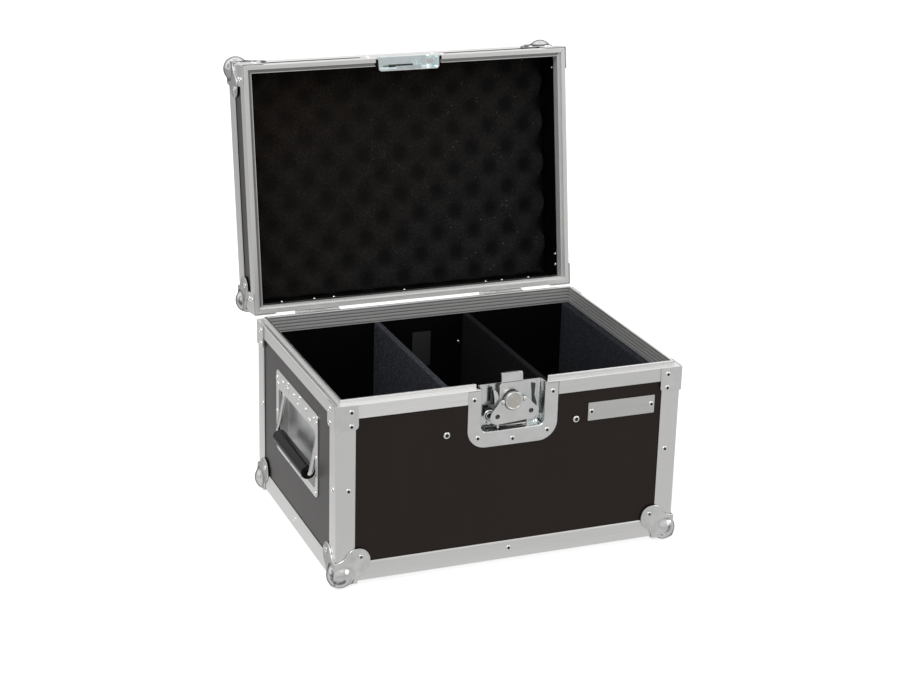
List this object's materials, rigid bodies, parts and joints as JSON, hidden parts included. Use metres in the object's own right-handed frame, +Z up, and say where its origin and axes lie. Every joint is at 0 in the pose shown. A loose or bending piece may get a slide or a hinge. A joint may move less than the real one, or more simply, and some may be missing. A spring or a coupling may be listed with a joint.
{
  "type": "lighting flight case",
  "caption": "Hinged plywood flight case with aluminium edging, a recessed butterfly latch, spring handles, ball corners, dividers and a foam-lined lid, standing open.",
  "frame": {"origin": "middle of the bottom board's underside", "axes": "+Z up, +X to the right seen from the latch, +Y to the back, where the hinges are"},
  "size_m": [0.4536, 0.4479, 0.536],
  "materials": {
    "plywood": "dark film, satin",
    "aluminium": "brushed, anodised",
    "zinc_plated_steel": "bright zinc plating",
    "rubber": "satin",
    "foam": "open-cell foam",
    "divider_board": "foam-faced board"
  },
  "bodies": {
    "case": {"bottom_panel": "plywood", "front_panel": "plywood", "back_panel": "plywood", "left_panel": "plywood", "right_panel": "plywood", "bottom_angle_front": "aluminium", "bottom_angle_back": "aluminium", "bottom_angle_left": "aluminium", "bottom_angle_right": "aluminium", "corner_angle_front_left": "aluminium", "corner_angle_front_right": "aluminium", "corner_angle_back_left": "aluminium", "corner_angle_back_right": "aluminium", "base_rim_front_left": "aluminium", "base_rim_front_right": "aluminium", "base_rim_back": "aluminium", "base_rim_left": "aluminium", "base_rim_right": "aluminium", "base_ball_corner_front_left": "zinc_plated_steel", "base_ball_corner_front_right": "zinc_plated_steel", "base_ball_corner_back_left": "zinc_plated_steel", "base_ball_corner_back_right": "zinc_plated_steel", "base_corner_brace_front_left": "zinc_plated_steel", "base_corner_brace_front_right": "zinc_plated_steel", "base_corner_brace_back_left": "zinc_plated_steel", "base_corner_brace_back_right": "zinc_plated_steel", "latch_dish": "zinc_plated_steel", "left_handle_dish": "zinc_plated_steel", "right_handle_dish": "zinc_plated_steel", "left_handle_spring": "zinc_plated_steel", "right_handle_spring": "zinc_plated_steel", "hinge_base_leaf_left": "zinc_plated_steel", "hinge_base_leaf_right": "zinc_plated_steel", "left_divider": "divider_board", "right_divider": "divider_board", "foam_lining": "foam", "nameplate": "aluminium"},
    "lid": {"lid_panel": "plywood", "lid_walls": "plywood", "lid_edge_frame": "aluminium", "lid_rim": "aluminium", "lid_foam": "foam", "keeper_dish": "zinc_plated_steel", "hinge_lid_leaf_left": "zinc_plated_steel", "hinge_lid_leaf_right": "zinc_plated_steel", "lid_ball_corner_front_left": "zinc_plated_steel", "lid_ball_corner_front_right": "zinc_plated_steel", "lid_ball_corner_back_left": "zinc_plated_steel", "lid_ball_corner_back_right": "zinc_plated_steel", "lid_corner_brace_front_left": "zinc_plated_steel", "lid_corner_brace_front_right": "zinc_plated_steel", "lid_corner_brace_back_left": "zinc_plated_steel", "lid_corner_brace_back_right": "zinc_plated_steel"},
    "latch_spindle": {"latch_spindle": "zinc_plated_steel"},
    "latch_wing": {"latch_wing": "zinc_plated_steel"},
    "latch_hook": {"latch_hook": "zinc_plated_steel"},
    "left_handle": {"left_handle_bail": "zinc_plated_steel", "left_handle_grip": "rubber"},
    "right_handle": {"right_handle_bail": "zinc_plated_steel", "right_handle_grip": "rubber"}
  },
  "joints": [
    {"name": "lid_hinge", "type": "hinge", "parent": "case", "child": "lid", "pos_m": [0, 0.1602, 0.2144], "axis": [-1, 0, 0], "range_deg": [-98.5, 0]},
    {"name": "latch_turn", "type": "hinge", "parent": "case", "child": "latch_spindle", "pos_m": [0, -0.1545, 0.1992], "axis": [0, -1, 0], "range_deg": [0, 180]},
    {"name": "wing_fold", "type": "hinge", "parent": "latch_spindle", "child": "latch_wing", "pos_m": [0, -0.154, 0.1992], "axis": [-1, 0, 0], "range_deg": [0, 90]},
    {"name": "hook_slide", "type": "slide", "parent": "case", "child": "latch_hook", "axis": [0, 0.342, -0.9397], "range_m": [0, 0.008]},
    {"name": "left_handle_lift", "type": "hinge", "parent": "case", "child": "left_handle", "pos_m": [-0.208, -0.0045, 0.1525], "axis": [0, 1, 0], "range_deg": [0, 80]},
    {"name": "right_handle_lift", "type": "hinge", "parent": "case", "child": "right_handle", "pos_m": [0.208, 0.0045, 0.1525], "axis": [0, -1, 0], "range_deg": [0, 80]}
  ],
  "couplings": [
    {"joint": "hook_slide", "follows": "latch_turn", "m_per_rad": 0.002546}
  ]
}
